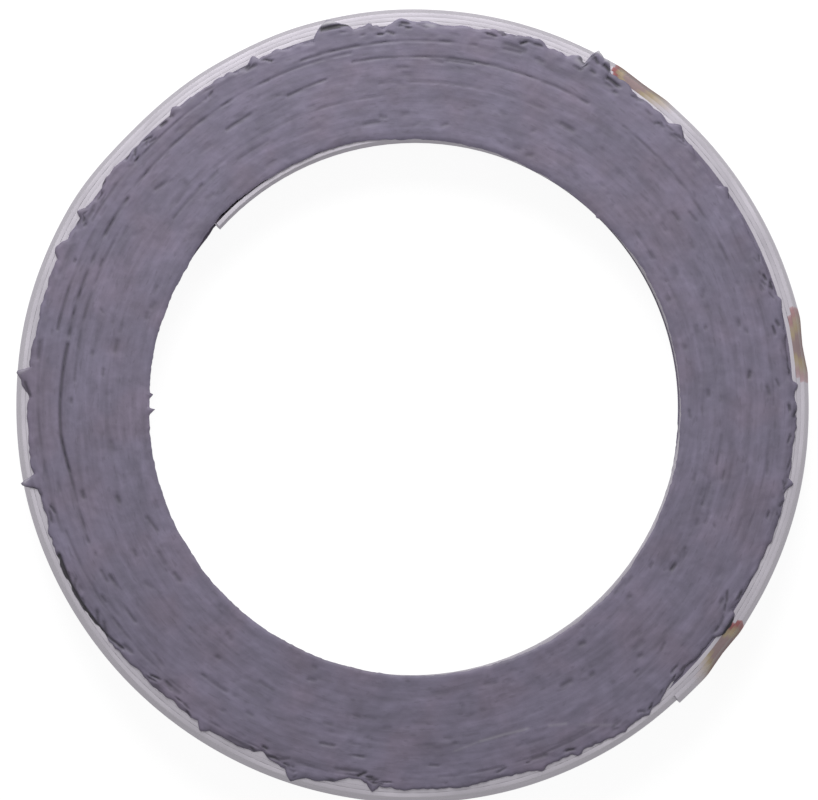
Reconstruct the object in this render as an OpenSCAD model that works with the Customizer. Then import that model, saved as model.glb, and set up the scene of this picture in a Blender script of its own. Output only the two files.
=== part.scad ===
// Spiral-wound exhaust gasket, lying flat on its lower sealing face.
// One steel strip with a V-shaped section is wound up with a graphite tape between its turns. The first and
// the last turns are bare, and the last ones are spot welded. The graphite stands proud of the steel and is
// smeared over its edges, so both sealing faces are graphite. Sizes are in millimetres, the origin is at the
// centre of the lower face, and +Z is the axis of the gasket.

/* [Winding] */
// Bore inside the innermost steel turn
bore_d = 40.4; // [34:0.1:48]
// Height of the steel strip, edge to edge
strip_h = 4.4; // [3:0.1:6]
// Thickness of the steel strip
strip_t = 0.2; // [0.15:0.01:0.25]
// Reach of the V at mid height, outwards from the strip's edges
v_depth = 0.55; // [0.3:0.05:0.8]
// Height of the flat nose of the V
nose_h = 0.8; // [0.4:0.1:1.2]
// Thickness of the graphite tape between two turns
tape_t = 0.634; // [0.4:0.002:0.8]
// Slit between two bare turns
bare_gap = 0.09; // [0.05:0.01:0.15]
// Steel turns at the bore before the tape starts
inner_turns = 2; // [1:1:3]
// Layers of graphite tape
tape_layers = 9; // [5:1:11]
// Steel turns outside the last layer of tape
outer_turns = 3; // [3:1:5]

/* [Strip ends] */
// Direction of the strip's outer end, anticlockwise from +X as seen from above
tail_angle = 312; // [280:1:350]
// Angle from the strip's outer end back to its inner end, clockwise as seen from above
end_angle = 174; // [150:1:220]
// How far the inner end springs off the winding into the bore
start_spring = 0.3; // [0.1:0.05:0.5]

/* [Spot welds] */
// Directions of the welds, back along the last half turn from the strip's outer end
weld_1 = 9.5; // [8:0.5:20]
// Direction of the second weld
weld_2 = 57; // [40:0.5:80]
// Direction of the third weld
weld_3 = 102.5; // [90:0.5:160]
// Depth of the electrode's print in the nose of the V
print_depth = 0.17; // [0.1:0.01:0.3]
// Width of the electrode's print on flat metal
print_w = 4; // [3:0.5:6]

/* [Graphite faces] */
// Height of the graphite over the steel strip's edges, on each face
proud_h = 0.3; // [0.15:0.05:0.5]
// Step from the bore's edge to the edge of the graphite
bore_lip = 0.12; // [0.05:0.01:0.3]
// How far the smeared edge reaches past the last layer of tape, over the next steel turn
smear_reach = 0.34; // [0.32:0.01:0.4]
// Depth of the small teeth of the smeared edge
tooth_depth = 0.08; // [0.04:0.01:0.08]
// Depth of the bays where the smear stops short of the rim
bay_depth = 0.22; // [0.1:0.01:0.22]

/* [Hidden] */
$fn = 180;

// Neighbouring arcs meet exactly when their radii and centres lie on one fine grid.
grid = 0.0001;
function on_grid(length) = round(length / grid) * grid;

// The V is steep, so a thickness measured along the radius is a little more than the sheet's own.
flank_angle = atan(2 * v_depth / (strip_h - nose_h));
strip_w = on_grid(strip_t / cos(flank_angle));
tape_w = on_grid(tape_t / cos(flank_angle));
bare_pitch = strip_w + bare_gap;
tape_pitch = strip_w + tape_w;

// The winding is a spiral of half turns. Each is an arc whose centre lies a quarter of the pitch to one side
// of the axis, and the next one's lies to the other side, so the arcs are tangent where they meet.
taped_from = 2 * inner_turns;
taped_to = taped_from + 2 * tape_layers;
last = taped_to + 2 * outer_turns - 2;
function is_taped(i) = i >= taped_from && i < taped_to;
function centre_off(i) = on_grid((is_taped(i) ? tape_pitch : bare_pitch) / 4);
function centre_x(i) = (i % 2 == 0 ? 1 : -1) * centre_off(i);
function arc_r(i) = i == 0 ? on_grid(bore_d / 2) : arc_r(i - 1) + centre_off(i - 1) + centre_off(i);
function arc_start(i) = i % 2 == 0 ? 180 : 0;

mid_z = strip_h / 2 + proud_h;
rim_r = arc_r(last) + strip_w + v_depth;
welds = [weld_1, weld_2, weld_3];

// Flakes of graphite that hang over the rim, each as direction, reach past the rim and half width in degrees.
flakes = [[62, 0.3, 3], [102, -0.3, 2.5], [176, 0, 2.6], [192, 0.25, 2], [252, -0.35, 2.6], [306, 0.2, 2]];
// Bays where bare turns show further in, each as direction and half width in degrees.
bays = [[31, 16], [131, 10], [247, 5], [331, 7]];
outline_steps = 180;

// Section of a strip whose inner edges lie at radius r: a V with a flat nose, w wide along the radius.
module v_section(r, w) {
    polygon([
        [r, -strip_h / 2], [r + w, -strip_h / 2],
        [r + w + v_depth, -nose_h / 2], [r + w + v_depth, nose_h / 2],
        [r + w, strip_h / 2], [r, strip_h / 2],
        [r + v_depth, nose_h / 2], [r + v_depth, -nose_h / 2]
    ]);
}

// Section of all that lies inside a turn's surface at radius r. It is as high as the tape, which was wound in
// standing proud of the steel and so reaches half way into both graphite faces.
module v_core(r) {
    tape_top = (strip_h + proud_h) / 2;
    polygon([
        [0, -tape_top], [r, -tape_top], [r, -strip_h / 2],
        [r + v_depth, -nose_h / 2], [r + v_depth, nose_h / 2],
        [r, strip_h / 2], [r, tape_top], [0, tape_top]
    ]);
}

// One half turn of steel.
module half_turn(i) {
    translate([centre_x(i), 0, 0])
        rotate_extrude(angle = 180, start = arc_start(i))
            v_section(arc_r(i), strip_w);
}

// The innermost half turn: a round quarter, and before it the end that springs off into the bore.
module inner_end() {
    off = on_grid(start_spring / (1 - cos(270 - end_angle)));
    translate([centre_x(0), 0, 0])
        rotate_extrude(angle = 90, start = 270)
            v_section(arc_r(0), strip_w);
    translate([centre_x(0), -off, 0])
        rotate_extrude(angle = 270 - end_angle, start = end_angle)
            v_section(arc_r(0) - off, strip_w);
}

// The graphite between half turn i and the half turn outside it. It thins out where the pitch changes.
module tape_layer(i) {
    difference() {
        translate([centre_x(i + 2), 0, 0])
            rotate_extrude(angle = 180, start = arc_start(i))
                v_core(arc_r(i + 2));
        translate([centre_x(i), 0, 0])
            rotate_extrude(angle = 180, start = arc_start(i))
                v_core(arc_r(i) + strip_w);
    }
}

// The fused patch of a spot weld: it closes the slit under the outermost half turn and runs half way into the
// turn on either side.
module weld_patch(angle) {
    reach = 1.1 * asin(print_w / 2 / rim_r);
    translate([centre_x(last), 0, 0])
        rotate_extrude(angle = 2 * reach, start = 360 - angle - reach)
            v_section(arc_r(last) - bare_gap - strip_w / 2, bare_gap + strip_w);
}

// The round face of a welding electrode, as wide and as deep in the rim as its print.
module electrode(angle) {
    electrode_r = (pow(print_w / 2, 2) + pow(print_depth, 2)) / (2 * print_depth);
    translate([centre_x(last), 0, 0])
        rotate(360 - angle)
            translate([rim_r - print_depth + electrode_r, 0, -strip_h])
                cylinder(r = electrode_r, h = 2 * strip_h);
}

// The winding is drawn anticlockwise with its outer end at angle 0, then turned over to run clockwise.
module lay_down() {
    translate([0, 0, mid_z])
        rotate(tail_angle)
            mirror([0, 1, 0])
                children();
}

module steel_strip() {
    color("#BDB8C2")
        lay_down()
            difference() {
                union() {
                    inner_end();
                    for (i = [1 : last]) half_turn(i);
                    for (angle = welds) weld_patch(angle);
                }
                for (angle = welds) electrode(angle);
            }
}

// The outer edge of the last layer of tape, at an angle from the strip's outer end. It is a spiral too.
function tape_edge_r(w) =
    w < 180
        ? arc_r(taped_to + 1) - centre_off(last) * cos(w)
        : arc_r(taped_to + 2) + centre_off(last) * cos(w);

// The smeared edge lies outside it: small uneven teeth, bays, and on the upper face the flakes.
function angle_between(a, b) = abs((a - b + 540) % 360 - 180);
function teeth(angle) =
    tooth_depth * (sin(11 * angle) + sin(23 * angle + 70) + sin(37 * angle + 200) + sin(59 * angle + 130)) / 4;
function bay(angle) =
    bay_depth * max([for (b = bays) max(0, 1 - pow(angle_between(angle, b[0]) / b[1], 4))]);
function flake(angle, base) =
    max([for (f = flakes) (rim_r + f[1] - base) * max(0, 1 - angle_between(angle, f[0]) / f[2])]);
function smear_r(angle, phase) =
    tape_edge_r((tail_angle - angle + 360) % 360) + smear_reach + teeth(angle + phase) - bay(angle + phase);

// One graphite face: the proud edges of the tape, smeared into a continuous ring.
module face_ring(phase, with_flakes) {
    step = 360 / outline_steps;
    difference() {
        linear_extrude(height = proud_h)
            polygon([for (i = [0 : outline_steps - 1])
                let (a = i * step, r = smear_r(a, phase), reach = with_flakes ? flake(a, r) : 0)
                (r + reach) * [cos(a), sin(a)]]);
        translate([0, 0, -proud_h])
            cylinder(r = bore_d / 2 + bore_lip, h = 3 * proud_h);
    }
}

module graphite_filler() {
    color("#716C7B")
        union() {
            lay_down()
                for (i = [taped_from - 2 : taped_to - 1]) tape_layer(i);
            face_ring(90, false);
            translate([0, 0, mid_z + strip_h / 2])
                face_ring(0, true);
        }
}

steel_strip();
graphite_filler();
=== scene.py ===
# %% [markdown]
# # A spiral-wound exhaust gasket
# The gasket seals a round flange in an exhaust pipe. A thin steel strip, rolled to a V, is wound up like a
# clock spring with soft graphite tape between its turns. The imported CAD model gives the place of every turn,
# so the first step is to load it.

import math

import bpy
import numpy as np
from mathutils import Matrix, Vector


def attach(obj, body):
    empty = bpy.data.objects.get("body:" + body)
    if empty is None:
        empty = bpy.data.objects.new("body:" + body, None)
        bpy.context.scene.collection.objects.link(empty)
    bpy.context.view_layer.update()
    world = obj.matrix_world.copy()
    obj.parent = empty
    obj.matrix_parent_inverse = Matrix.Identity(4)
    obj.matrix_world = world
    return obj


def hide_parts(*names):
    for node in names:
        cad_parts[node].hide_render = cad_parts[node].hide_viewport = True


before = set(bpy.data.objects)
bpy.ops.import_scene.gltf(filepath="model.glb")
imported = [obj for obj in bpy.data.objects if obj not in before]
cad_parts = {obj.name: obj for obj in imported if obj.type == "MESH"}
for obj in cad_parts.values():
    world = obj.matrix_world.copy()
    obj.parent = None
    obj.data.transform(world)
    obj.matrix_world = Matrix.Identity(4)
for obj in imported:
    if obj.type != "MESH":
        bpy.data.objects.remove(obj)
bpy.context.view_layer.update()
print("nodes:", sorted(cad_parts))

# %% [markdown]
# ## The sizes of the winding
# A spiral can be drawn with a radius that grows with the angle, or with half circles about two centres. The
# second way is used, because the CAD model is made so. Each half turn's centre lies a quarter of the pitch to
# one side of the axis, and the next one's to the other side, so that the half circles are tangent where they
# meet. All sizes are in millimetres, and angles run anticlockwise as seen from above.

# %% Half circles of the winding
MM = 0.001
BORE_R = 20.2
STRIP_H = 4.4
STRIP_W = 0.2091  # the sheet's thickness, measured along the radius
TAPE_W = 0.6629
SLIT = 0.09
V_DEPTH = 0.55
PROUD = 0.3  # the graphite stands this far over the strip's edges
TAIL = 312.0  # direction of the strip's outer end
TIP = 174.0  # from there back to its inner end
SPRING = 0.3
FIRST_TAPED, LAST_TAPED, LAST = 4, 21, 26
MID_Z = PROUD + STRIP_H / 2
TOP = 2 * PROUD + STRIP_H

halves = np.arange(LAST + 1)
taped = (halves >= FIRST_TAPED) & (halves <= LAST_TAPED)
offset = np.round((STRIP_W + np.where(taped, TAPE_W, SLIT)) / 4, 4)
centre = np.where(halves % 2 == 0, offset, -offset)
radius = BORE_R + np.concatenate([[0], np.cumsum(offset[:-1] + offset[1:])])
RIM_R = radius[LAST] + STRIP_W + V_DEPTH
print("half turns:", len(halves), "rim radius mm:", round(RIM_R, 3))

# %% [markdown]
# ## Two helpers for things that go round a ring
# A ring has no first or last angle, so whatever varies round it has to close up. Values at equally spaced
# knots, blended by a half cosine, do for shapes that were measured. Random values on a grid of cells, blended
# in both directions, do for roughness. Both are computed for all points at once.

# %% Knots and noise round the ring
NOISE_R = 34  # the grid of random numbers reaches past the rim


def knots(values, angle):
    """Smooth values round the ring: knots at equal angles, and a half cosine that blends each into the next."""
    values = np.asarray(values, float)
    place = (angle % 360) / 360 * len(values)
    low = np.floor(place).astype(int)
    blend = 0.5 - 0.5 * np.cos(np.pi * (place - low))
    return values[low % len(values)] * (1 - blend) + values[(low + 1) % len(values)] * blend


def ring_noise(seed, angle, r, cell_deg, cell_mm):
    """Noise from -1 to 1: a random number at each corner of a grid of cells, eased from corner to corner."""
    columns = max(round(360 / cell_deg), 3)
    grid = np.random.default_rng(seed).uniform(-1, 1, (columns, int(NOISE_R / cell_mm) + 3))
    a = (angle % 360) / 360 * columns
    b = np.clip(r, 0, NOISE_R - 1) / cell_mm
    a0, b0 = np.floor(a).astype(int), np.floor(b).astype(int)
    fa, fb = a - a0, b - b0
    fa, fb = fa * fa * (3 - 2 * fa), fb * fb * (3 - 2 * fb)
    a0, a1 = a0 % columns, (a0 + 1) % columns
    near = grid[a0, b0] * (1 - fa) + grid[a1, b0] * fa
    far = grid[a0, b0 + 1] * (1 - fa) + grid[a1, b0 + 1] * fa
    return near * (1 - fb) + far * fb


# %% [markdown]
# ## How round the real winding is
# The strip is wound under tension and clamped once, so the rim of the real gasket strays from the true spiral
# by up to a quarter of a millimetre. The rim's radius was measured every 15 degrees, and its difference from the
# spiral moves every piece, more at the rim than at the bore.

# %% Out of round
OUT_OF_ROUND = [
    -0.13, -0.02, -0.005, 0.03, 0.11, 0.11, 0.08, 0.02, -0.115, -0.23, 0.035, 0.055,
    -0.02, 0.025, 0.015, 0.035, 0.045, 0.08, 0.115, 0.125, 0.095, 0.02, -0.09, -0.1,
]  # fmt: skip


def lay_down(x, y):
    """Turns the winding over and round: its mirror image in the x axis, turned by TAIL degrees."""
    c, s = math.cos(math.radians(TAIL)), math.sin(math.radians(TAIL))
    return x * c + y * s, x * s - y * c


def strayed(x, y):
    """Moves points outwards by the measured difference, times the square of their place across the ring."""
    r = np.hypot(x, y)
    share = np.clip((r - BORE_R) / (RIM_R - BORE_R), 0, 1) ** 2
    factor = 1 + knots(OUT_OF_ROUND, np.degrees(np.arctan2(y, x))) * share / r
    return x * factor, y * factor


# %% [markdown]
# ## From arrays to a mesh
# Every new piece is a grid: one parameter runs round the gasket, the other round a section. The helper joins
# neighbouring points with four-sided faces, closes the grid where it is a ring, and hands whole arrays to
# Blender. Afterwards it measures the enclosed volume, and if that is negative all faces are turned outwards.

# %% Grid to mesh
def grid_faces(rows, columns, ring_rows, start=0):
    """Four-sided faces of a grid whose columns always close into a ring, and whose rows may."""
    i = np.arange(rows if ring_rows else rows - 1)[:, None]
    j = np.arange(columns)[None, :]
    i1, j1 = (i + 1) % rows, (j + 1) % columns
    corners = [i * columns + j, i1 * columns + j, i1 * columns + j1, i * columns + j1]
    return start + np.stack([c + 0 * (i + j) for c in corners], -1).reshape(-1, 4)


def end_cap(columns, start):
    """Closes the end of a sheet whose section runs up one side and down the other: a face joins each pair."""
    j = np.arange(columns // 2 - 1)
    return start + np.stack([j, j + 1, columns - 2 - j, columns - 1 - j], -1)


def enclosed(points, faces):
    """Volume inside: a sixth of the sum of the box products of all triangles, two to a face."""
    p = points[faces]
    one = np.einsum("ij,ij->i", p[:, 0], np.cross(p[:, 1], p[:, 2]))
    two = np.einsum("ij,ij->i", p[:, 0], np.cross(p[:, 2], p[:, 3]))
    return (one.sum() + two.sum()) / 6


def make_piece(name, points, faces, fields, node, crease):
    """Builds the mesh in metres, gives it named values at its points, and hangs it in the frame."""
    if enclosed(points, faces) < 0:
        faces = faces[:, ::-1]
    mesh = bpy.data.meshes.new(name)
    mesh.vertices.add(len(points))
    mesh.vertices.foreach_set("co", (points * MM).astype(np.float32).ravel())
    mesh.loops.add(faces.size)
    mesh.loops.foreach_set("vertex_index", faces.astype(np.int32).ravel())
    mesh.polygons.add(len(faces))
    mesh.polygons.foreach_set("loop_start", np.arange(0, faces.size, 4, dtype=np.int32))
    mesh.update(calc_edges=True)
    mesh.polygons.foreach_set("use_smooth", np.ones(len(faces), bool))
    mesh.set_sharp_from_angle(angle=math.radians(crease))
    for field, values in fields.items():
        kind, key = ("FLOAT", "value") if values.ndim == 1 else ("FLOAT_VECTOR", "vector")
        mesh.attributes.new(field, kind, "POINT").data.foreach_set(key, values.astype(np.float32).ravel())
    piece = bpy.data.objects.new(name, mesh)
    bpy.context.scene.collection.objects.link(piece)
    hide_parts(node)
    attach(piece, "root")
    print(name, len(faces) * 2, "triangles,", round(abs(enclosed(points, faces)), 1), "mm3")
    return piece


# %% [markdown]
# ## The steel strip
# The strip could be a curve with a bevel profile, but a curve twists its profile and can't be dented. Here a V
# section is carried along the half circles as one array. The section has its own rounded tip, since sheet
# doesn't bend to a sharp corner. Its edges were rubbed over when the faces were pressed, so they nearly close
# the slit to the next turn and cover the thin end of the tape. The first stretch springs off into the bore on
# a smaller circle.

# %% The V section and the path of the strip
LEVELS = 11
TOWARDS_TIP = 1.3  # a power over 1 sets the levels closer together at the tip of the V
lift = np.linspace(-1, 1, LEVELS)
level_z = STRIP_H / 2 * np.sign(lift) * np.abs(lift) ** TOWARDS_TIP
BEND = 0.3  # how round the tip is


def v_reach(z):
    """The V's reach at height z over its middle: a hyperbola, V_DEPTH at the tip and nothing at the edges."""
    half = STRIP_H / 2
    return V_DEPTH * (1 - (np.hypot(z, BEND) - BEND) / (math.hypot(half, BEND) - BEND))


def half_angles(i, steps):
    """Angles along half turn i: even ones run from 180 to 360 degrees, odd ones from 0 to 180."""
    return np.arange(steps) * 180 / steps + (180 if i % 2 == 0 else 0)


COARSE, FINE = 60, 360  # steps along a half turn; the last three are in plain view
steps = np.where(halves >= LAST - 2, FINE, COARSE)
path = [np.column_stack([np.full(steps[i], i), half_angles(i, steps[i])]) for i in halves[1:]]
first = np.arange(TIP, 360, 180 / COARSE)
path = np.vstack([np.column_stack([np.zeros(len(first)), first]), *path, [[LAST, 360]]])
turn, swing = path[:, 0].astype(int), path[:, 1]
sprung = (turn == 0) & (swing < 270)
spring_off = SPRING / (1 - math.cos(math.radians(270 - TIP)))
path_cy = np.where(sprung, -spring_off, 0)
path_r = radius[turn] - np.where(sprung, spring_off, 0)
run = np.concatenate([[0], np.cumsum(np.radians(np.diff(swing) % 360) * path_r[1:])])
print("strip length mm:", round(run[-1]), "path points:", len(run))

# %% [markdown]
# ### Dents of the spot welds
# An electrode presses the strip down for the length of a few millimetres. Its round face leaves a print that
# is a shallow arc, and two small humps beside it are the metal that was pushed up. The dent is deepest at the
# tip of the V, where the electrode touched, and each weld was pressed differently hard.

# %% Dents
WELDS = [(9.0, 0.17), (54.5, 0.1), (321.5, 0.14)]  # direction and depth of the three spot welds
DENT_HALF = 2.0
DENT_POWER = 1.25  # 1 would be a sharp bottom and 2 a round one
DENT_AT_EDGE = 0.35  # share of the dent that the edges of the V follow
DENT_BELOW = 0.75  # share that the next turn inwards follows
SHOULDER, SHOULDER_AT, SHOULDER_HALF = 0.02, 2.2, 1.3  # height, distance from the weld, half width


def hump(distance, half_width):
    """A squared cosine, 1 at distance 0 and nothing from half_width on."""
    return np.cos(np.clip(np.abs(distance) / half_width, 0, 1) * np.pi / 2) ** 2


def along_rim(swing, at):
    """Distance in mm along the rim from a direction, positive anticlockwise."""
    return np.radians((TAIL - swing - at + 180) % 360 - 180) * RIM_R


def weld_move(turn, swing):
    """Outward move at each point of the path: the dent and its two shoulders, for the two outermost turns."""
    move = np.zeros(len(swing))
    for weld, dent in WELDS:
        away = np.abs(along_rim(swing, weld))
        move += SHOULDER * hump(away - SHOULDER_AT, SHOULDER_HALF)
        move -= dent * np.clip(1 - (away / DENT_HALF) ** DENT_POWER, 0, 1)
    return move * np.where(turn == LAST, 1, np.where(turn == LAST - 2, DENT_BELOW, 0))


print("deepest dent mm:", -round(float(weld_move(turn, swing).min()), 3))

# %% [markdown]
# ### The surface of the strip
# The section has an outer side, an inner side and a slightly domed edge at top and bottom. Every point of it has
# a reach, and the surface is the circle's radius at each point of the path plus that reach, plus the burr, plus
# the dent. One sum of whole arrays gives all the points, and they are then laid down as the gasket lies.

# %% The strip's surface
BURR, CROWN = 0.084, 0.005  # width of the rubbed edge of a bare turn, and how far the sheet's edge is domed
section_z = np.concatenate([level_z, [level_z[-1] + CROWN], level_z[::-1], [level_z[0] - CROWN]])
section_u = np.concatenate([v_reach(level_z) + STRIP_W, [STRIP_W / 2], v_reach(level_z), [STRIP_W / 2]])
burr_shape = np.concatenate([np.abs(level_z / level_z[-1]) ** 8, [0.5], 0 * level_z, [0.5]])
untaped = (turn > LAST_TAPED) | (turn < FIRST_TAPED - 2)
apart = centre[LAST_TAPED + 2] - centre[LAST_TAPED]
tape_end = radius[LAST_TAPED + 2] - radius[LAST_TAPED] - STRIP_W + apart * np.cos(np.radians(swing))
burr_width = np.where(untaped, BURR, np.where(turn == LAST_TAPED, tape_end - (SLIT - BURR), 0))
depth_share = 1 - (1 - DENT_AT_EDGE) * np.clip(np.abs(section_z) / (STRIP_H / 2), 0, 1)
steel_r = path_r[:, None] + section_u[None, :] + burr_width[:, None] * burr_shape[None, :]
steel_r = steel_r + weld_move(turn, swing)[:, None] * depth_share[None, :]
direction = np.radians(swing)[:, None]
x, y = strayed(*lay_down(centre[turn][:, None] + steel_r * np.cos(direction),
                         path_cy[:, None] + steel_r * np.sin(direction)))
z = MID_Z + section_z[None, :] + 0 * x
steel_points = np.stack([x, y, z], -1).reshape(-1, 3)
columns = 2 * LEVELS + 2
steel_faces = np.vstack([
    grid_faces(len(run), columns, False),
    end_cap(columns, 0)[:, ::-1],
    end_cap(columns, (len(run) - 1) * columns),
])
print("strip points:", len(steel_points), "faces:", len(steel_faces))

# %% [markdown]
# ### Heat of the welds
# Each weld has tinted the outermost turn, for 2 to 4 mm on either side. The tint ends sharply in red on one side
# and fades out through olive and beige on the other. Distances along the strip are known here and would be hard
# to find in a material, so the mesh carries them: how near the weld is, how red that side is, and how far the
# point lies from the nose of the V.

# %% Values on the strip, and the piece
TINTS = [
    (9.0, 2.9, 0.5, 2.9, 0.7), (56.3, 4.2, 0.0, 1.65, 1.0), (322.4, 3.6, 0.0, 2.25, 1.0),
]  # direction, then reach in mm and redness clockwise of it, and the same anticlockwise
FAR, BELOW = -0.5, 0.15  # nearness where no tint is, and how much less of it the next turn inwards has
near_weld, redness = np.full(len(run), FAR), np.zeros(len(run))
for at, clockwise, red_clockwise, anticlockwise, red_anticlockwise in TINTS:
    away = along_rim(swing, at)
    near = 1 - np.abs(away) / np.where(away < 0, clockwise, anticlockwise)
    redness = np.where(near > near_weld, np.where(away < 0, red_clockwise, red_anticlockwise), redness)
    near_weld = np.maximum(near_weld, near)
near_weld = np.where(turn == LAST, near_weld, np.where(turn == LAST - 2, near_weld - BELOW, FAR))
over_nose = np.abs(section_z)[None, :] / (STRIP_H / 2) + 0 * x
heat = np.stack([near_weld[:, None] + 0 * x, redness[:, None] + 0 * x, over_nose], -1).reshape(-1, 3)
along = np.stack([run[:, None] + 0 * x, z, 0 * x], -1).reshape(-1, 3)
steel = make_piece("steel_winding", steel_points, steel_faces, {"strip": along, "weld_tint": heat},
                   "steel_strip", 35)
print("tinted share of the strip:", round(float(np.mean(near_weld > 0)), 3))

# %% [markdown]
# ## The graphite tape
# Between two turns the tape has the V of both, so its section is the space that they leave. It is carried
# along the same half circles. Where the pitch changes, two neighbouring turns have other centres, and the
# tape thins out by itself because each side follows its own turn.

# %% Tape between the turns
TAPE_STEPS, TAPE_LEVELS = 60, 7
tape_z = np.linspace(-STRIP_H / 2, STRIP_H / 2, TAPE_LEVELS)
tape_path = np.vstack([np.column_stack([np.full(TAPE_STEPS, i), half_angles(i, TAPE_STEPS)])
                       for i in range(FIRST_TAPED - 2, LAST_TAPED + 1)])
tape_turn, tape_swing = tape_path[:, 0].astype(int), np.radians(tape_path[:, 1])[:, None]
SKIN = 0.004  # the tape stays clear of the steel by this much, so that no two faces coincide


def tape_side(i, gap):
    """One side of the tape: the V of half turn i, moved off the steel by the gap."""
    r = radius[i][:, None] + gap + v_reach(tape_z)[None, :]
    return centre[i][:, None] + r * np.cos(tape_swing), r * np.sin(tape_swing)


outer_x, outer_y = tape_side(tape_turn + 2, -SKIN)
inner_x, inner_y = tape_side(tape_turn, STRIP_W + SKIN)
x, y = strayed(*lay_down(np.hstack([outer_x, inner_x[:, ::-1]]), np.hstack([outer_y, inner_y[:, ::-1]])))
z = MID_Z + np.concatenate([tape_z, tape_z[::-1]])[None, :] + 0 * x
tape_points = np.stack([x, y, z], -1).reshape(-1, 3)
columns = 2 * TAPE_LEVELS
tape_faces = np.vstack([
    grid_faces(len(tape_path), columns, False),
    end_cap(columns, 0)[:, ::-1],
    end_cap(columns, (len(tape_path) - 1) * columns),
])
none = np.zeros(len(tape_points))
tape = make_piece("graphite_tape", tape_points, tape_faces, {"dark": none, "light": none},
                  "graphite_filler", 35)

# %% [markdown]
# ## The outline of a graphite face
# The tape was wound in standing proud and was then pressed flat, so it has smeared over the steel. The smear
# has no clean edge: it stops short in bays, hangs over the rim in flakes, and has small teeth all round. The
# edge is a slow curve through measured knots, minus the bays, with noise for the teeth, and each flake is a
# peak with straight sides.

# %% Edges of the smear
BORE_EDGE = [
    20.12, 20.09, 20.1, 19.86, 19.86, 19.95, 20.0, 20.25, 20.2, 20.28, 19.88, 19.86,
    19.8, 19.93, 19.98, 20.1, 20.17, 20.23, 20.34, 20.38, 20.48, 20.44, 20.34, 20.28,
]  # fmt: skip
RIM_EDGE = [
    28.91, 28.48, 28.65, 28.48, 28.45, 28.2, 28.64, 28.75, 28.74, 28.8, 28.84, 28.7, 28.78, 28.69, 28.43, 28.57,
    28.62, 28.63, 28.62, 28.78, 28.72, 28.83, 28.8, 28.87, 28.9, 29.04, 28.76, 29.03, 29.07, 28.75, 28.62, 28.72,
    28.74, 28.66, 29.1, 28.47, 28.85, 28.8, 28.62, 28.8, 28.88, 29.02, 28.46, 28.57, 28.6, 28.82, 28.96, 28.83,
]  # fmt: skip
# Each bay is a direction, half its width in degrees, and its depth.
RIM_NOTCHES = [
    (94.6, 1.0, 0.3), (118, 1.2, 0.2), (146, 2, 0.3), (231, 2, 0.15), (246.5, 1.6, 0.25), (260.5, 2.5, 0.3),
    (346.5, 1, 0.15),
]
# Each is a direction, the radius of its tip, the width of each flank in degrees, and a power: under 1 for
# lumps, over 1 for spikes.
RIM_FLAKES = [
    (2.9, 29.12, 0.7, 0.7, 0.4), (15.8, 28.9, 1.2, 1, 0.6), (34.5, 28.8, 1, 1, 0.6),
    (46.3, 29.05, 1.4, 1.4, 0.5), (57.4, 29.05, 3.2, 2.4, 0.4), (60.5, 29.75, 1.2, 1.5, 0.5),
    (62.3, 30.1, 1.2, 1.0, 0.5), (64.6, 29.1, 0.9, 1.2, 0.4), (71.6, 29.0, 2, 1.8, 0.5),
    (78, 28.95, 0.7, 0.8, 0.6), (92, 29.05, 1.4, 1.2, 0.5), (96.6, 28.95, 0.6, 1, 0.6),
    (102.6, 29.72, 3.4, 2.6, 0.5), (111, 28.75, 0.8, 1, 0.6), (114.8, 29.0, 0.8, 1, 0.6),
    (129, 28.9, 1, 0.8, 0.6), (150, 29.1, 1, 0.6, 0.7), (156.2, 29.42, 1.6, 1.4, 0.7),
    (175.1, 29.98, 0.6, 3.3, 0.8), (191.4, 30.02, 0.8, 1.0, 0.5), (205, 29.15, 1.4, 2, 0.5),
    (237, 29.15, 1.2, 1, 0.6), (252, 29.6, 1.4, 2, 0.9), (264, 29.15, 0.9, 0.9, 0.6),
    (289.5, 28.98, 0.9, 0.9, 0.6), (295.5, 29.2, 0.9, 0.8, 0.6), (303, 29.25, 2.4, 2, 0.5),
    (307.4, 29.15, 0.6, 0.6, 1.0), (325, 29.16, 2.4, 2.3, 0.3), (348.2, 29.3, 0.6, 0.7, 0.6),
]
BORE_BITS = [
    (45.6, 19.72, 0.8, 0.7, 0.8), (51.5, 19.85, 1.2, 1.6, 0.5), (57.2, 19.85, 1.4, 1.4, 0.5),
    (63, 19.8, 1.6, 1.2, 0.5), (92.5, 19.95, 1.6, 1.2, 0.6), (177.7, 19.5, 0.4, 0.9, 1.0),
    (181.0, 19.36, 0.4, 1.2, 1.0), (186, 19.9, 2, 2, 0.7),
]


def peak(angle, at, left, right):
    """A peak of height 1: it falls to nothing over its own width on either side."""
    away = (angle - at + 180) % 360 - 180
    return np.clip(1 - np.where(away < 0, -away / left, away / right), 0, 1)


def with_peaks(base, angle, peaks, outward):
    """The edge, drawn out to each peak's tip where that reaches further than the edge does."""
    for at, tip, left, right, power in peaks:
        reach = base + (tip - base) * peak(angle, at, left, right) ** power
        base = np.maximum(base, reach) if outward else np.minimum(base, reach)
    return base


def teeth(seed, angle, size):
    """Small uneven teeth: three layers of noise, each finer than the one before."""
    layers = [(2.3, 1.0), (1.1, 0.8), (0.67, 0.8)]
    return size * sum(w * ring_noise(seed + k, angle, 0 * angle, cell, 1) for k, (cell, w) in enumerate(layers))


def smear_edges(seed, angle, bays, flakes, bits):
    """Inner and outer radius of a graphite face at each angle."""
    outer = knots(RIM_EDGE, angle)
    for at, half, depth in bays:
        outer = outer - depth * hump((angle - at + 180) % 360 - 180, half)
    inner = knots(BORE_EDGE, angle) + teeth(seed + 10, angle, 0.028)
    outer = with_peaks(outer, angle, flakes, True) + teeth(seed, angle, 0.075)
    return with_peaks(inner, angle, bits, False), outer
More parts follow.
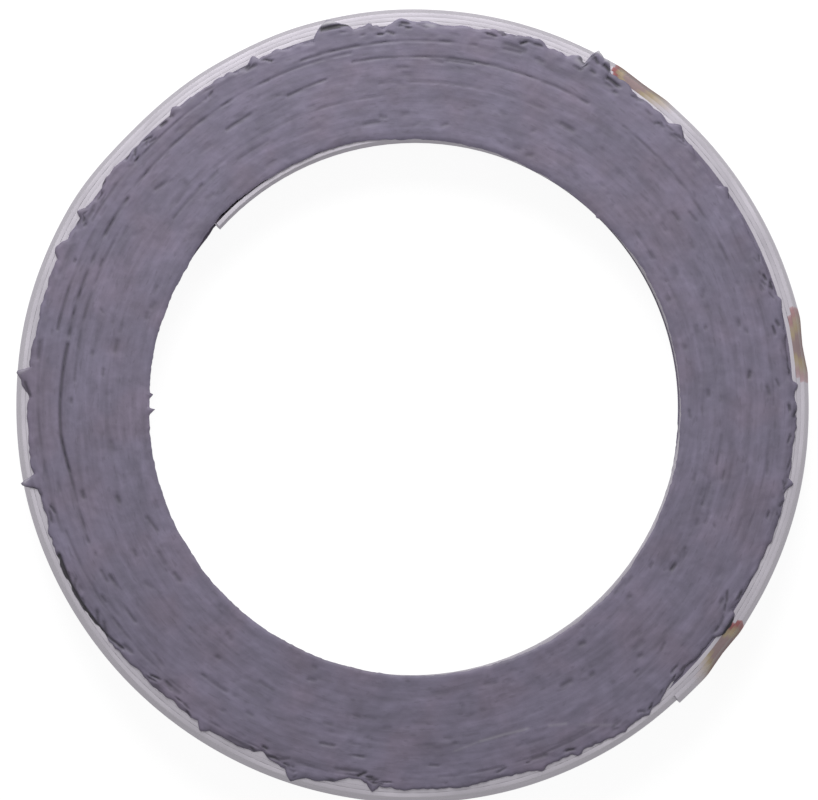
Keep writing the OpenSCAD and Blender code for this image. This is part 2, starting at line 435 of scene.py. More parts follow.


# %% [markdown]
# ## Marks on the graphite
# The pressed graphite is a stack of foil edges. They part in long thin seams round the ring, crumble in pits,
# open in gaps, and shine where they are worn by rubbing; that paleness is partly painted sheen. Every mark is a
# line from one angle and radius to another, with a width and a depth. Long ones are broken up by noise. Several
# hundred short ones, drawn from a seeded random generator, give the face its grain. The same numbers sink the
# mesh and darken the material; in the gaps the near-black is painted shade.

# %% Lists of marks
# Each mark is its first and last angle, its first and last radius, its width, and its depth as a share.
SEAMS = [
    (24, 53, 26.04, 26.26, 0.075, 0.5), (60, 100, 26.23, 26.2, 0.07, 0.55),
    (80, 108, 27.47, 27.25, 0.075, 0.65), (100, 126, 26.9, 26.72, 0.07, 0.4),
    (114, 142, 26.79, 26.64, 0.08, 0.7), (150, 168, 27.25, 27.25, 0.08, 0.75),
    (144, 172, 26.49, 26.32, 0.085, 0.8), (194, 198.5, 26.2, 26.25, 0.08, 0.6),
    (198.5, 203, 26.25, 26.43, 0.08, 0.7), (208, 210, 26.49, 26.49, 0.08, 0.6),
    (215, 218, 26.42, 26.42, 0.08, 0.6), (232, 237, 25.66, 25.66, 0.08, 0.5),
    (259, 262, 26.64, 26.64, 0.08, 0.6), (124, 150, 27.9, 27.75, 0.07, 0.45),
    (150, 176, 25.6, 25.45, 0.07, 0.4), (66, 96, 24.4, 24.35, 0.06, 0.35), (96, 130, 23.4, 23.3, 0.06, 0.35),
    (200, 232, 27.7, 27.5, 0.07, 0.4), (278, 300, 27.9, 27.8, 0.07, 0.35), (236, 262, 28.2, 28.1, 0.07, 0.4),
    (0, 20, 27.2, 27.1, 0.06, 0.3), (336, 356, 26.9, 27.0, 0.06, 0.3), (170, 200, 28.2, 28.0, 0.07, 0.4),
]
PITS = [
    (4.7, 5.6, 25.4, 25.5, 0.1, 0.7), (13.6, 14.5, 25.25, 25.3, 0.09, 0.6), (26, 38, 21.2, 21.25, 0.08, 0.5),
    (31.5, 33, 21.15, 21.2, 0.12, 0.8), (61.5, 62.8, 23.9, 23.95, 0.09, 0.6),
    (95.4, 96.6, 21.75, 21.75, 0.08, 0.6), (105, 112, 25.35, 25.1, 0.08, 0.6),
    (118, 124, 25.1, 25.05, 0.08, 0.6), (108.3, 109.6, 23.7, 23.7, 0.08, 0.6),
    (130, 142, 22.9, 22.85, 0.07, 0.5), (137, 140, 24.9, 25.3, 0.1, 0.6), (155.2, 156.6, 21.2, 21.2, 0.08, 0.5),
    (173.4, 174.6, 23.4, 23.4, 0.08, 0.5), (209.5, 213, 26.1, 26.0, 0.1, 0.7),
    (192.5, 193.7, 27.25, 27.25, 0.09, 0.7), (207.6, 208.5, 23.6, 23.65, 0.08, 0.5),
    (211.6, 212.6, 27.4, 27.4, 0.09, 0.6), (241, 244, 23.75, 23.8, 0.08, 0.5),
    (249.6, 250.5, 21.95, 21.95, 0.08, 0.5), (325.6, 326.5, 21.6, 21.55, 0.09, 0.6),
    (327.2, 328.2, 24.05, 24.1, 0.1, 0.8), (327.6, 329.2, 23.0, 23.1, 0.11, 1.0),
    (329.5, 330.6, 23.2, 23.05, 0.11, 1.0), (330.6, 332.2, 22.95, 23.15, 0.1, 0.9),
    (328.6, 331.6, 23.35, 23.3, 0.08, 0.7), (326.8, 328.4, 22.6, 22.7, 0.08, 0.6),
    (341, 345.4, 23.0, 23.1, 0.08, 0.6), (342.6, 343.8, 22.75, 22.8, 0.09, 0.6),
    (349, 354.4, 23.25, 23.3, 0.08, 0.55), (346.5, 348, 23.9, 23.95, 0.08, 0.5),
    (338, 340, 23.7, 23.75, 0.08, 0.5),
]
# Gaps sink the mesh, and their near-black colour is painted shade: no light gets out of such narrow cracks.
GAPS = [
    (98.9, 101.2, 29.0, 29.06, 0.05, 2.0), (101, 103.7, 29.06, 29.1, 0.09, 3.0),
    (203, 207, 28.88, 29.0, 0.1, 2.5), (207, 212, 29.0, 28.95, 0.08, 2.2), (212, 217, 28.95, 28.75, 0.07, 2.2),
    (217, 220, 28.75, 28.4, 0.09, 0.9), (207.4, 208.8, 28.5, 29.0, 0.1, 0.6),
    (213.2, 215.2, 28.3, 28.85, 0.1, 0.8), (215.2, 217.0, 28.35, 28.8, 0.1, 0.7),
    (57.2, 59.4, 28.5, 28.62, 0.09, 1.1), (59.6, 60.6, 29.15, 29.3, 0.1, 1.2),
    (61.6, 62.6, 29.2, 29.55, 0.09, 1.0), (323.2, 326.4, 29.08, 29.06, 0.09, 2.2),
    (251.6, 252.4, 28.5, 29.3, 0.07, 0.6), (176.8, 178.6, 29.2, 28.8, 0.1, 0.8),
    (192.4, 193.6, 29.2, 28.8, 0.1, 0.9), (170, 180, 26.3, 26.51, 0.085, 0.8),
    (180, 185, 26.51, 26.53, 0.08, 0.85), (185, 191, 26.53, 26.24, 0.085, 0.95),
    (191, 194, 26.24, 26.2, 0.08, 0.65),
]
# Pale marks where the foil is worn by rubbing: the paleness is partly real wear and partly painted sheen.
SCRATCHES_AND_SHEEN = [
    (276.9, 281.2, 26.1, 25.7, 0.07, 0.12), (281.2, 285.4, 25.7, 25.62, 0.07, 0.24),
    (285.4, 289.5, 25.62, 25.74, 0.07, 0.26), (293.1, 295.7, 26.12, 26.5, 0.07, 0.18),
    (297.6, 302.3, 27.0, 28.35, 0.07, 0.13), (59.8, 62.8, 29.7, 30.05, 0.09, 0.95),
    (99.8, 105, 29.45, 29.5, 0.1, 0.8), (191.0, 191.6, 29.5, 29.9, 0.12, 0.4),
    (174.9, 175.6, 29.4, 29.9, 0.2, 0.25), (63.6, 64.4, 28.7, 28.8, 0.2, 0.3),
    (86.9, 87.9, 28.55, 28.55, 0.13, 0.25),
]


def marks(angle, r, lines):
    """Depth of the deepest mark at each point: its depth times a bell curve of the distance from its line."""
    deepest = np.zeros(np.broadcast(angle, r).shape)
    for a0, a1, r0, r1, width, depth in lines:
        t = np.clip(((angle - a0 + 90) % 360 - 90) / (a1 - a0), 0, 1)
        across = r - (r0 + (r1 - r0) * t)
        along_line = np.radians((angle - (a0 + (a1 - a0) * t) + 180) % 360 - 180) * r
        deepest = np.maximum(deepest, depth * np.exp(-(across**2 + along_line**2) / (2 * width**2)))
    return deepest


def grain_marks(seed, count):
    """Short marks round the ring, anywhere between bore and rim: many faint ones and a few deep ones."""
    random = np.random.default_rng(seed)
    a0 = random.uniform(0, 360, count)
    r0 = random.uniform(20.6, 28.8, count)
    length = random.gamma(1.5, 0.8, count)
    drift = random.normal(0, 0.08, count)
    return np.column_stack([a0, a0 + length, r0, r0 + drift, random.uniform(0.07, 0.14, count),
                            np.minimum(random.gamma(1.3, 0.14, count), 0.6)])


CRUMBLED = [4, 20, 47, 58, 74, 92, 117, 135, 150, 205, 229, 248, 262, 290, 302, 309, 326, 347]


def rim_crumbs(seed, count):
    """Short deep marks in the last millimetre before the ragged edge, in clusters round some directions."""
    random = np.random.default_rng(seed)
    a0 = random.choice(CRUMBLED, count)
    a0 = a0 + random.normal(0, 3.5, count)
    r0 = knots(RIM_EDGE, a0) - random.gamma(2.0, 0.16, count)
    return np.column_stack([a0, a0 + random.uniform(0.3, 1.4, count), r0, r0 + random.normal(0, 0.12, count),
                            random.uniform(0.05, 0.1, count), random.uniform(0.3, 1.1, count)])


# %% [markdown]
# ## The relief of a graphite face
# The face could be a flat disc with a bump map, but from a low angle a bump map stays flat. So the mesh itself
# carries the waviness, the streaks, the marks and the worn edges. The grid is finer towards the rim, where the
# teeth are. A face is a closed slab: the relief on top, the ragged edge, a flat underside and the bore's edge.

# %% A slab of smeared graphite
LIP = 0.05  # the slab is nowhere thinner than this
MEAN_IN, MEAN_OUT = 20.1, 28.9  # the round grid, before its edges are eased to the ragged ones
EASE_BORE, EASE_RIM = 0.12, 0.14  # shares of the face's width over which it is eased
UNDERCUT = 0.02  # the underside is narrower by this at either edge
WAVE, STREAK, CRUMB, MARK, WEAR = 0.04, 0.03, 0.025, 0.13, 0.17  # how far each of these can lower the face


def across_grid(inside, seamed, near_rim):
    """Places across the face, 0 at the bore and 1 at the rim: closer together at the seams and the rim."""
    seams_from, seams_to = 0.56, 0.93
    return np.concatenate([
        np.linspace(0, seams_from, inside, endpoint=False),
        np.linspace(seams_from, seams_to, seamed, endpoint=False),
        np.linspace(seams_to, 1, near_rim),
    ])


def face_slab(seed, steps, share, inner, outer, lists):
    """Points of the slab, thickness upwards from 0, with the dark and light values for its material."""
    angle = (np.arange(steps) * 360 / steps)[:, None]
    ease_in = np.clip(1 - share / EASE_BORE, 0, 1) ** 2
    ease_out = np.clip((share - (1 - EASE_RIM)) / EASE_RIM, 0, 1) ** 1.5
    r = MEAN_IN + (MEAN_OUT - MEAN_IN) * share[None, :]
    r = r + (inner[:, None] - MEAN_IN) * ease_in + (outer[:, None] - MEAN_OUT) * ease_out
    broken = np.clip(0.75 + 0.8 * ring_noise(seed + 20, angle + 0 * r, r, 1.6, 0.5), 0, 1)
    seams = marks(angle, r, lists["seams"]) * broken
    sunk = np.maximum(np.maximum(seams, marks(angle, r, lists["gaps"])), marks(angle, r, lists["pits"]) * broken)
    sunk = np.maximum(sunk, marks(angle, r, lists["grain"]))
    wavy = 0.5 + 0.5 * ring_noise(seed + 21, angle + 0 * r, r, 17, 2.1)
    streaks = 0.5 + 0.5 * ring_noise(seed + 22, angle + 0 * r, r, 5, 0.8)
    crumbs = 0.5 + 0.5 * ring_noise(seed + 23, angle + 0 * r, r, 1.1, 0.35)
    to_rim, to_bore = np.clip(outer[:, None] - r, 0, None), np.clip(r - inner[:, None], 0, None)
    # Wear is steep at the rim's edge, crumbly in the last millimetre before it, and steep at the bore's edge.
    worn = 0.75 * np.exp(-to_rim / 0.12) + 0.4 * np.exp(-to_rim / 0.6) * crumbs + 0.55 * np.exp(-to_bore / 0.1)
    down = WAVE * wavy + STREAK * streaks + CRUMB * crumbs + MARK * np.clip(sunk, 0, 1.2) + WEAR * worn
    top = np.clip(PROUD - down, LIP, PROUD)
    # Dark: darker foil at seams, pits and grain, and painted shade in the gaps.
    dark = np.clip(sunk, 0, 1.3)
    # Light: pale worn places, partly real wear and partly painted sheen.
    light = marks(angle, r, lists["scratches_and_sheen"])
    edge = [r[:, -1:], r[:, -1:] - UNDERCUT, r[:, :1] + UNDERCUT, r[:, :1]]
    heights = [top[:, -1:] * 0.5, 0 * top[:, :1], 0 * top[:, :1], top[:, :1] * 0.5]
    r_all, z_all = np.hstack([r, *edge]), np.hstack([top, *heights])
    pad = np.zeros((steps, 4))
    turned = np.radians(angle)
    x, y = strayed(r_all * np.cos(turned), r_all * np.sin(turned))
    return x, y, z_all, np.hstack([dark, pad]).ravel(), np.hstack([light, pad]).ravel()


# %% [markdown]
# ### The upper face
# This is the face that the eye lands on, so it gets the fine grid: a third of a degree round the ring, and less
# than a tenth of a millimetre across the seams. Its underside lies on the edges of the steel turns.

# %% The upper face
FACE_STEPS = 1080
face_angle = np.arange(FACE_STEPS) * 360 / FACE_STEPS
inner, outer = smear_edges(5, face_angle, RIM_NOTCHES, RIM_FLAKES, BORE_BITS)
share = across_grid(36, 36, 14)
lists = {"seams": SEAMS, "pits": PITS, "gaps": GAPS, "scratches_and_sheen": SCRATCHES_AND_SHEEN,
         "grain": np.vstack([grain_marks(7, 520), rim_crumbs(8, 150)])}
x, y, z, dark, light = face_slab(5, FACE_STEPS, share, inner, outer, lists)
points = np.stack([x, y, TOP - PROUD + z], -1).reshape(-1, 3)
upper = make_piece("graphite_face_upper", points, grid_faces(FACE_STEPS, x.shape[1], True),
                   {"dark": dark, "light": light}, "graphite_filler", 50)

# %% [markdown]
# ### The lower face
# The gasket rests on this one. It is made in the same way with other random numbers, on a coarser grid, and
# turned upside down, so that its highest points lie in the plane of the floor.

# %% The lower face
LOWER_STEPS = 720
low_angle = np.arange(LOWER_STEPS) * 360 / LOWER_STEPS
low_bays = [(at + 90, half, depth) for at, half, depth in RIM_NOTCHES]
inner, outer = smear_edges(60, low_angle, low_bays, [(306.3, 29.95, 0.6, 0.6, 0.8)], [])
inner = np.maximum(inner, BORE_R - 0.05)
lists = {"seams": [(a0 + 140, a1 + 140, *rest) for a0, a1, *rest in SEAMS], "pits": [(0, 1, 24, 24, 0.1, 0.5)],
         "gaps": [], "scratches_and_sheen": [], "grain": grain_marks(70, 160)}
x, y, z, dark, light = face_slab(60, LOWER_STEPS, across_grid(16, 14, 8), inner, outer, lists)
points = np.stack([x, y, PROUD - z], -1).reshape(-1, 3)
lower = make_piece("graphite_face_lower", points, grid_faces(LOWER_STEPS, x.shape[1], True),
                   {"dark": dark, "light": light}, "graphite_filler", 50)

# %% [markdown]
# ## Colours and nodes
# Colours are read off as the screen shows them, in sRGB, while Blender computes with linear light, so one
# function converts them. A material is a graph of nodes, and one helper adds a node with its settings, plain
# values and links.

# %% Helpers for materials
def linear(code):
    """sRGB hex to linear: a straight piece near black and a power of 2.4 above it."""
    parts = [int(code[k:k + 2], 16) / 255 for k in (1, 3, 5)]
    return [c / 12.92 if c <= 0.04045 else ((c + 0.055) / 1.055) ** 2.4 for c in parts] + [1.0]


def add(tree, kind, settings=None, values=None, links=None):
    """Adds a node: settings are its own properties, values go into its sockets, links come from other nodes."""
    made = tree.nodes.new(kind)
    for key, value in (settings or {}).items():
        setattr(made, key, value)
    for key, value in (values or {}).items():
        made.inputs[key].default_value = value
    for key, (source, output) in (links or {}).items():
        tree.links.new(source.outputs[output], made.inputs[key])
    return made


def ramp(tree, source, output, stops):
    """A colour ramp through the given stops of place and sRGB colour."""
    made = add(tree, "ShaderNodeValToRGB", links={"Fac": (source, output)})
    band = made.color_ramp
    while len(band.elements) < len(stops):
        band.elements.new(0.5)
    for element, (place, code) in zip(band.elements, stops):
        element.position = place
        element.color = linear(code)
    return made


def fresh_material(name, **constants):
    """A material with one Principled shader, whose constant sockets are set directly."""
    made = bpy.data.materials.new(name)
    made.use_nodes = True
    shader = made.node_tree.nodes["Principled BSDF"]
    for key, value in constants.items():
        shader.inputs[key.replace("_", " ")].default_value = value
    return made, made.node_tree, shader


# %% [markdown]
# ## Cold-rolled stainless strip
# Stainless strip comes off the rolls with fine lines along its length, half matt, pale and faintly violet. The
# lines could be drawn in Object coordinates, but they would then cross the strip. The mesh carries the distance
# along the strip and the height, and noise that is stretched fifty times along the strip follows every turn.

# %% Rolled steel
steel_finish, tree, shader = fresh_material("rolled_stainless_strip", Metallic=1.0)
where = add(tree, "ShaderNodeTexCoord")
strip = add(tree, "ShaderNodeAttribute", {"attribute_name": "strip"})
ROLL_LINE_MM, ROLL_SPACING_MM = 6.0, 0.12  # lines are drawn coarser than real ones, which are too fine to show
scaled = add(tree, "ShaderNodeVectorMath", {"operation": "MULTIPLY"}, links={0: (strip, "Vector")})
scaled.inputs[1].default_value = (1 / ROLL_LINE_MM, 1 / ROLL_SPACING_MM, 1.0)
lines = add(tree, "ShaderNodeTexNoise", values={"Scale": 1.0, "Detail": 3.0},
            links={"Vector": (scaled, "Vector")})
print("roll lines per mm:", round(1 / ROLL_SPACING_MM, 1))

# %% [markdown]
# ### Colours of the heat
# The three spot welds have heated the strip, and the oxide film shows the heat: grey-brown at the weld, then
# olive and straw, and bare steel beyond. On one side it fades out like that, and on the other it ends sharply in
# red. Two ramps turn the nearness of the weld, unsettled by a little noise, into these two courses of colour, and
# the redness from the mesh blends them. The nose of the V, which the electrode touched, is a darker brown. A
# noise of scale 1 has one blot to the metre, so 0.9 / MM makes blots a little over a millimetre wide.

# %% Weld tint
blotch = add(tree, "ShaderNodeTexNoise", values={"Scale": 0.9 / MM, "Detail": 4.0},
             links={"Vector": (where, "Object")})
tinted = add(tree, "ShaderNodeAttribute", {"attribute_name": "weld_tint"})
parts = add(tree, "ShaderNodeSeparateXYZ", links={"Vector": (tinted, "Vector")})
stir = add(tree, "ShaderNodeMath", {"operation": "MULTIPLY_ADD"}, {1: 0.3}, {0: (blotch, "Fac"), 2: (parts, "X")})
near = add(tree, "ShaderNodeMath", {"operation": "SUBTRACT"}, {1: 0.15}, {0: (stir, "Value")})
fading = ramp(tree, near, "Value", [
    (0.0, "#BCBCBC"), (0.18, "#B7B3AE"), (0.36, "#ADA696"), (0.52, "#9C9276"), (0.68, "#8D7F7A"),
    (1.0, "#8A7C78"),
])
sharp = ramp(tree, near, "Value", [
    (0.0, "#BCBCBC"), (0.03, "#A5807E"), (0.08, "#946462"), (0.2, "#8E625E"), (0.32, "#94866E"),
    (0.55, "#9C9276"), (0.72, "#8D7F7A"), (1.0, "#8A7C78"),
])
tint = add(tree, "ShaderNodeMix", {"data_type": "RGBA"},
           links={"Factor": (parts, "Y"), "A": (fading, "Color"), "B": (sharp, "Color")})
nose = add(tree, "ShaderNodeMapRange", values={"From Min": 0.12, "From Max": 0.55, "To Min": 0.9, "To Max": 0.0},
           links={"Value": (parts, "Z")})
hot = add(tree, "ShaderNodeMapRange", values={"From Min": 0.1, "From Max": 0.4}, links={"Value": (near, "Value")})
edge = add(tree, "ShaderNodeMath", {"operation": "MULTIPLY"}, links={0: (nose, "Result"), 1: (hot, "Result")})
tint = add(tree, "ShaderNodeMix", {"data_type": "RGBA"}, {"B": linear("#6E4543")},
           {"Factor": (edge, "Value"), "A": (tint, "Result")})
print("nodes of the tint:", len(tree.nodes))

# %% [markdown]
# ### Colour, gloss and relief of the steel
# The ramps hold a middle grey where no heat came, so the bare steel's colour is multiplied by them and doubled.
# The roll lines make the gloss uneven and give a relief of a hundredth of a millimetre.

# %% Steel shader
bare = ramp(tree, lines, "Fac", [(0.3, "#C2BDC6"), (0.7, "#D4CFD8")])
tone = add(tree, "ShaderNodeMix", {"data_type": "RGBA", "blend_type": "MULTIPLY"}, {"Factor": 1.0},
           {"A": (tint, "Result"), "B": (bare, "Color")})
lighten = add(tree, "ShaderNodeMix", {"data_type": "RGBA", "blend_type": "MULTIPLY"},
              {"Factor": 1.0, "B": (2.0, 2.0, 2.0, 1)}, {"A": (tone, "Result")})
tree.links.new(lighten.outputs["Result"], shader.inputs["Base Color"])
gloss = add(tree, "ShaderNodeMapRange", values={"To Min": 0.4, "To Max": 0.54}, links={"Value": (lines, "Fac")})
tree.links.new(gloss.outputs["Result"], shader.inputs["Roughness"])
bump = add(tree, "ShaderNodeBump", values={"Strength": 0.25, "Distance": 0.01 * MM},
           links={"Height": (lines, "Fac")})
tree.links.new(bump.outputs["Normal"], shader.inputs["Normal"])
steel.data.materials.append(steel_finish)
print("steel nodes:", len(tree.nodes))

# %% [markdown]
# ## Pressed graphite
# Exfoliated graphite pressed into foil is soft, grey with a faint violet cast, and has a low silky sheen. Its
# edges wear to streaks that follow the ring. In the material the place on the ring is turned into a vector
# that closes up at every turn: the direction on a circle, times the ring's radius over the streak's length,
# and the radius over the streak's width.

# %% Streaks round the ring
graphite, tree, shader = fresh_material("pressed_graphite_foil", Metallic=0.0, IOR=1.7, Specular_IOR_Level=0.35)
where = add(tree, "ShaderNodeTexCoord")
flat = add(tree, "ShaderNodeVectorMath", {"operation": "MULTIPLY"}, links={0: (where, "Object")})
flat.inputs[1].default_value = (1.0, 1.0, 0.0)
span = add(tree, "ShaderNodeVectorMath", {"operation": "LENGTH"}, links={0: (flat, "Vector")})
toward = add(tree, "ShaderNodeVectorMath", {"operation": "NORMALIZE"}, links={0: (flat, "Vector")})
MIDDLE_R = 25  # the ring's middle radius in mm


def ring_pattern(length_mm, width_mm, detail):
    """Noise whose blots are length_mm long round the ring and width_mm wide across it."""
    around = add(tree, "ShaderNodeVectorMath", {"operation": "SCALE"}, {"Scale": MIDDLE_R / length_mm},
                 {0: (toward, "Vector")})
    outward = add(tree, "ShaderNodeMath", {"operation": "MULTIPLY"}, {1: 1 / (width_mm * MM)},
                  {0: (span, "Value")})
    out = add(tree, "ShaderNodeCombineXYZ", links={"Z": (outward, "Value")})
    both = add(tree, "ShaderNodeVectorMath", {"operation": "ADD"},
               links={0: (around, "Vector"), 1: (out, "Vector")})
    return add(tree, "ShaderNodeTexNoise", values={"Scale": 1.0, "Detail": detail},
               links={"Vector": (both, "Vector")})


long_streaks = ring_pattern(6.0, 0.6, 2.0)
short_streaks = ring_pattern(1.6, 0.26, 1.5)
dashes = ring_pattern(0.9, 0.24, 1.0)
print("nodes of the streaks:", len(tree.nodes))

# %% [markdown]
# ### The grey of the foil
# The grey is one colour with a slight change from cool to warm in patches 4 mm wide. Four noises lighten and
# darken it: long and short streaks, smears 2 to 3 mm wide, and specks a third of a millimetre wide, the grain of
# the foil. Each is a factor around 1, and the factors are multiplied. The shortest dashes show only where they
# are strongest, as small crumbled places.

# %% Graphite grey
mottle = add(tree, "ShaderNodeTexNoise", values={"Scale": 0.26 / MM, "Detail": 2.0},
             links={"Vector": (where, "Object")})
smears = add(tree, "ShaderNodeTexNoise", values={"Scale": 0.42 / MM, "Detail": 2.5, "Distortion": 1.2},
             links={"Vector": (where, "Object")})
specks = add(tree, "ShaderNodeTexNoise", values={"Scale": 3.0 / MM, "Detail": 1.0},
             links={"Vector": (where, "Object")})


def spread_round_one(noise, spread):
    """Turns noise from 0 to 1 into a factor that lies as far below 1 as above it."""
    return add(tree, "ShaderNodeMapRange", values={"To Min": 1 - spread, "To Max": 1 + spread},
               links={"Value": (noise, "Fac")})


cool_warm = ramp(tree, mottle, "Fac", [(0.35, "#696376"), (0.5, "#6A6376"), (0.65, "#6C6375")])
factor, socket = spread_round_one(long_streaks, 0.34), "Result"
for noise, spread in ((short_streaks, 0.12), (smears, 0.3), (specks, 0.045)):
    layer = spread_round_one(noise, spread)
    factor = add(tree, "ShaderNodeMath", {"operation": "MULTIPLY"},
                 links={0: (factor, socket), 1: (layer, "Result")})
    socket = "Value"
mixed = add(tree, "ShaderNodeMix", {"data_type": "RGBA", "blend_type": "MULTIPLY"}, {"Factor": 1.0},
            {"A": (cool_warm, "Color"), "B": (factor, socket)})
crumbled = add(tree, "ShaderNodeMapRange", values={"From Min": 0.63, "From Max": 0.73, "To Max": 0.2},
               links={"Value": (dashes, "Fac")})
mixed = add(tree, "ShaderNodeMix", {"data_type": "RGBA"}, {"B": linear("#3A3640")},
            {"Factor": (crumbled, "Result"), "A": (mixed, "Result")})
print("nodes with the grey:", len(tree.nodes))

# %% [markdown]
# ### Marks, sheen and relief of the graphite
# The marks come from the mesh as the values dark and light. Dark makes seams, pits and grain darker foil, and
# paints the gaps nearly black as shade, since no light gets out of them. Light makes places worn by rubbing
# pale, partly the wear itself and partly a painted sheen. The long streaks change the sheen too. The short
# streaks and the specks give a relief of three hundredths of a millimetre, and all coarser relief is in the mesh.

# %% Graphite shader
dark_mark = add(tree, "ShaderNodeAttribute", {"attribute_name": "dark"})
light_mark = add(tree, "ShaderNodeAttribute", {"attribute_name": "light"})
# Worn places mixed towards pale grey: partly real wear, partly a painted sheen.
rubbed_and_painted_sheen = add(tree, "ShaderNodeMix", {"data_type": "RGBA"}, {"B": linear("#B0AEB2")},
             {"Factor": (light_mark, "Fac"), "A": (mixed, "Result")})
# Near black where the value is high: darker foil at seams and pits, and painted shade in the gaps.
deep = add(tree, "ShaderNodeMapRange", values={"From Max": 1.2, "To Max": 0.97},
           links={"Value": (dark_mark, "Fac")})
marks_and_gap_shade = add(tree, "ShaderNodeMix", {"data_type": "RGBA"}, {"B": linear("#1F1C23")},
             {"Factor": (deep, "Result"), "A": (rubbed_and_painted_sheen, "Result")})
tree.links.new(marks_and_gap_shade.outputs["Result"], shader.inputs["Base Color"])
sheen = add(tree, "ShaderNodeMapRange", values={"To Min": 0.5, "To Max": 0.72},
            links={"Value": (long_streaks, "Fac")})
tree.links.new(sheen.outputs["Result"], shader.inputs["Roughness"])
grain = add(tree, "ShaderNodeMath", {"operation": "ADD"},
            links={0: (short_streaks, "Fac"), 1: (specks, "Fac")})
bump = add(tree, "ShaderNodeBump", values={"Strength": 0.35, "Distance": 0.03 * MM},
           links={"Height": (grain, "Value")})
tree.links.new(bump.outputs["Normal"], shader.inputs["Normal"])
for piece in (upper, lower, tape):
    piece.data.materials.append(graphite)
print("graphite nodes:", len(tree.nodes))

# %% [markdown]
# ## The table
# The gasket lies on a plain white table. The floor shows white to the camera through a glow of its own, and a
# part of its brightness is ordinary reflected light, which keeps the gasket's shadow. To all other rays it is an
# evenly lit paper, which the steel's flank mirrors.

# %% Floor
FLOOR_HALF, FLOOR_DROP = 1.5, 0.02 * MM  # in metres; the drop keeps it clear of the graphite's lower face
floor_mesh = bpy.data.meshes.new("floor")
corners = [(x * FLOOR_HALF, y * FLOOR_HALF, 0) for x, y in ((-1, -1), (1, -1), (1, 1), (-1, 1))]
floor_mesh.from_pydata(corners, [], [(0, 1, 2, 3)])
floor_mesh.transform(Matrix.Translation((0, 0, -FLOOR_DROP)))
floor = bpy.data.objects.new("floor", floor_mesh)
bpy.context.scene.collection.objects.link(floor)

table = bpy.data.materials.new("white_table")
table.use_nodes = True
tree = table.node_tree
tree.nodes.clear()
GLOW, EVEN = 0.9, 0.36  # what the paper gives off to the camera, and to other rays
FAINT, PAPER = (0.18, 0.18, 0.18, 1), (0.3, 0.3, 0.3, 1)  # what it reflects to them, which keeps the shadow
ray = add(tree, "ShaderNodeLightPath")
matt = add(tree, "ShaderNodeBsdfDiffuse", values={"Color": PAPER})
even = add(tree, "ShaderNodeEmission", values={"Color": (1, 1, 1, 1), "Strength": EVEN})
paper = add(tree, "ShaderNodeAddShader", links={0: (matt, "BSDF"), 1: (even, "Emission")})
faint = add(tree, "ShaderNodeBsdfDiffuse", values={"Color": FAINT})
glow = add(tree, "ShaderNodeEmission", values={"Color": (1, 1, 1, 1), "Strength": GLOW})
shown = add(tree, "ShaderNodeAddShader", links={0: (faint, "BSDF"), 1: (glow, "Emission")})
choice = add(tree, "ShaderNodeMixShader",
             links={"Fac": (ray, "Is Camera Ray"), 1: (paper, "Shader"), 2: (shown, "Shader")})
add(tree, "ShaderNodeOutputMaterial", links={"Surface": (choice, "Shader")})
floor_mesh.materials.append(table)
print("table nodes:", len(tree.nodes))

# %% [markdown]
# ## The light
# The light is soft. A pale sky lights from all sides, and is a little brighter where metal mirrors it, as under
# a soft box, while the camera sees it white. One wide lamp stands close by, beyond the upper edge of the picture,
# so the far side of the gasket is lighter than the near side.

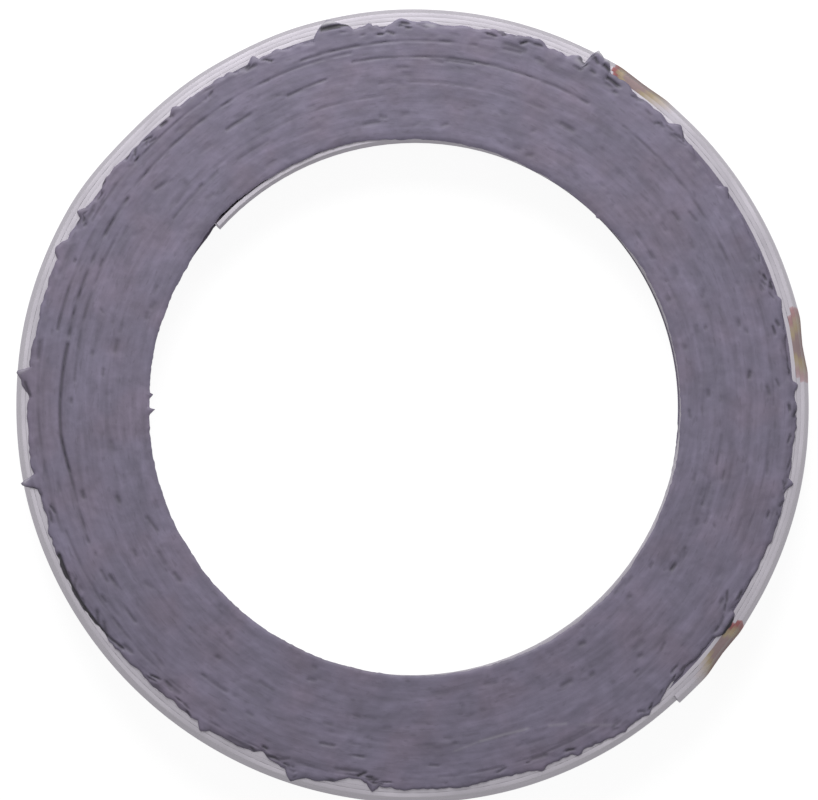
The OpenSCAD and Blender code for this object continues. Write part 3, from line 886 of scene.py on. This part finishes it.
# %% Sky and lamp
world = bpy.data.worlds.new("soft_sky")
bpy.context.scene.world = world
world.use_nodes = True
tree = world.node_tree
tree.nodes.clear()
ray = add(tree, "ShaderNodeLightPath")
SKY = 0.42
SOFT_BOX = 0.5  # what polished metal mirrors is brighter than the rest of the sky
strength = add(tree, "ShaderNodeMapRange", values={"To Min": SKY, "To Max": SOFT_BOX},
               links={"Value": (ray, "Is Glossy Ray")})
lit = add(tree, "ShaderNodeBackground", values={"Color": (1, 1, 1, 1)}, links={"Strength": (strength, "Result")})
white = add(tree, "ShaderNodeBackground", values={"Color": (1, 1, 1, 1), "Strength": 1.0})
choice = add(tree, "ShaderNodeMixShader", links={"Fac": (ray, "Is Camera Ray"), 1: (lit, "Background"),
                                                 2: (white, "Background")})
add(tree, "ShaderNodeOutputWorld", links={"Surface": (choice, "Shader")})

LAMP_AT, LAMP_SIZE, LAMP_WATTS = (-0.02, 0.17, 0.14), 0.16, 0.51
lamp_data = bpy.data.lights.new("wide_lamp", "AREA")
lamp_data.shape = "DISK"
lamp_data.size = LAMP_SIZE
lamp_data.energy = LAMP_WATTS
lamp = bpy.data.objects.new("wide_lamp", lamp_data)
bpy.context.scene.collection.objects.link(lamp)
lamp.location = LAMP_AT
lamp.rotation_mode = "QUATERNION"
lamp.rotation_quaternion = lamp.location.to_track_quat("Z", "Y")
print("lamp's distance mm:", round(lamp.location.length / MM))

# %% [markdown]
# ## The camera
# The photograph looks down almost along the axis. It shows a little of the bore's wall on the far side, so
# the camera stands about two degrees off the axis, towards the lower edge of the picture. A long lens at half
# a metre keeps the ring round. The lens follows from the scale: pixels per millimetre at mid height.

# %% Camera
PHOTO_W, PHOTO_H = 818, 800
PX_PER_MM = 13.25
RING_AT = (412.5, 406.1)  # the ring's centre in the picture
STAND_OFF, TILT, TOWARDS = 550.0, 2.2, 252.0
aim = Vector(((PHOTO_W / 2 - RING_AT[0]) / PX_PER_MM, (RING_AT[1] - PHOTO_H / 2) / PX_PER_MM, MID_Z))
tilt, towards = math.radians(TILT), math.radians(TOWARDS)
back = Vector((math.sin(tilt) * math.cos(towards), math.sin(tilt) * math.sin(towards), math.cos(tilt)))
right = Vector((0, 1, 0)).cross(back).normalized()
up = back.cross(right)
camera_data = bpy.data.cameras.new("camera")
camera_data.sensor_width = 36.0
camera_data.lens = camera_data.sensor_width * STAND_OFF / (PHOTO_W / PX_PER_MM)
camera_data.clip_start, camera_data.clip_end = 0.01, 10.0
camera = bpy.data.objects.new("camera", camera_data)
bpy.context.scene.collection.objects.link(camera)
camera.rotation_mode = "QUATERNION"
camera.rotation_quaternion = Matrix((right, up, back)).transposed().to_quaternion()
camera.location = (aim + back * STAND_OFF) * MM
bpy.context.scene.camera = camera
bpy.context.scene.view_settings.view_transform = "Standard"
print("lens mm:", round(camera_data.lens, 1))
